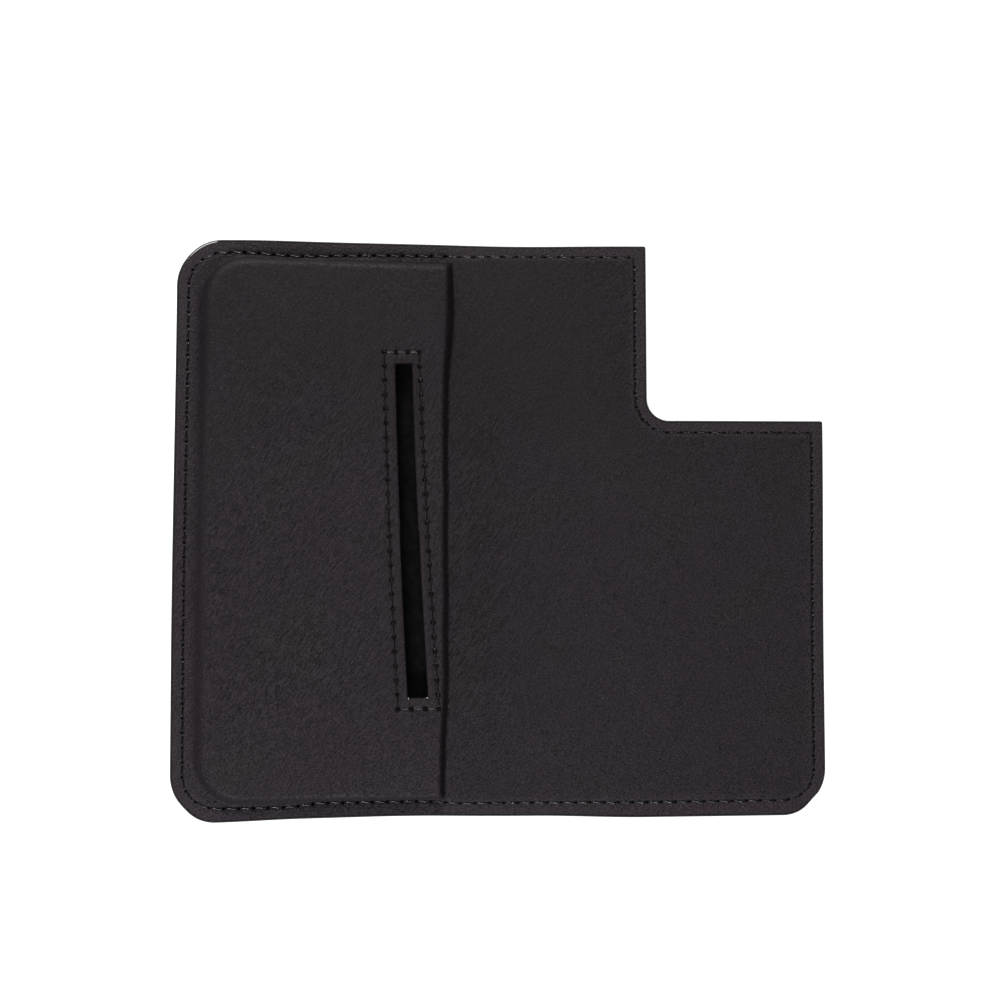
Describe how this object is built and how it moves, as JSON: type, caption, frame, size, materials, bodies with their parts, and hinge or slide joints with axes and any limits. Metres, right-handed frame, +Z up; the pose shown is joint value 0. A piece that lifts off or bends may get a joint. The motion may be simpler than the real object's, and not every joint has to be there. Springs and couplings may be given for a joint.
{
  "type": "phone wallet case",
  "caption": "Book-style leather phone case, lying open: stitched two-layer panels, a raised card pocket with a slit, and a camera cut-out at the back panel's corner.",
  "frame": {"origin": "centre of the spine, on the surface that the open case lies on", "axes": "+X to the back panel that carries the phone, +Y to the top of the case, +Z up out of the inner faces"},
  "size_m": [0.174, 0.1536, 0.007],
  "materials": {
    "outer_leather": "satin",
    "lining_leather": "satin",
    "facing_leather": "matte",
    "thread": "satin",
    "magnet": "satin",
    "steel": "satin"
  },
  "bodies": {
    "back_panel": {"outer_back": "outer_leather", "lining_back": "lining_leather", "edge_thread_back": "thread", "magnet_ring": "magnet", "alignment_magnet": "magnet", "shunt_ring": "steel"},
    "spine": {"outer_spine": "outer_leather", "lining_spine": "lining_leather", "outer_fold_front": "outer_leather", "lining_fold_front": "lining_leather", "outer_fold_back": "outer_leather", "lining_fold_back": "lining_leather", "edge_thread_spine": "thread"},
    "front_cover": {"outer_front": "outer_leather", "lining_front": "lining_leather", "slit_facing": "facing_leather", "slit_thread": "thread", "edge_thread_front": "thread"}
  },
  "joints": [
    {"name": "spine_fold", "type": "hinge", "parent": "back_panel", "child": "spine", "pos_m": [0.00775, 0, 0.0013], "axis": [0, 1, 0], "range_deg": [-90, 90], "deforming": ["outer_fold_back", "lining_fold_back"]},
    {"name": "cover_fold", "type": "hinge", "parent": "spine", "child": "front_cover", "pos_m": [-0.00775, 0, 0.0013], "axis": [0, 1, 0], "range_deg": [-90, 90], "deforming": ["outer_fold_front", "lining_fold_front"]}
  ]
}
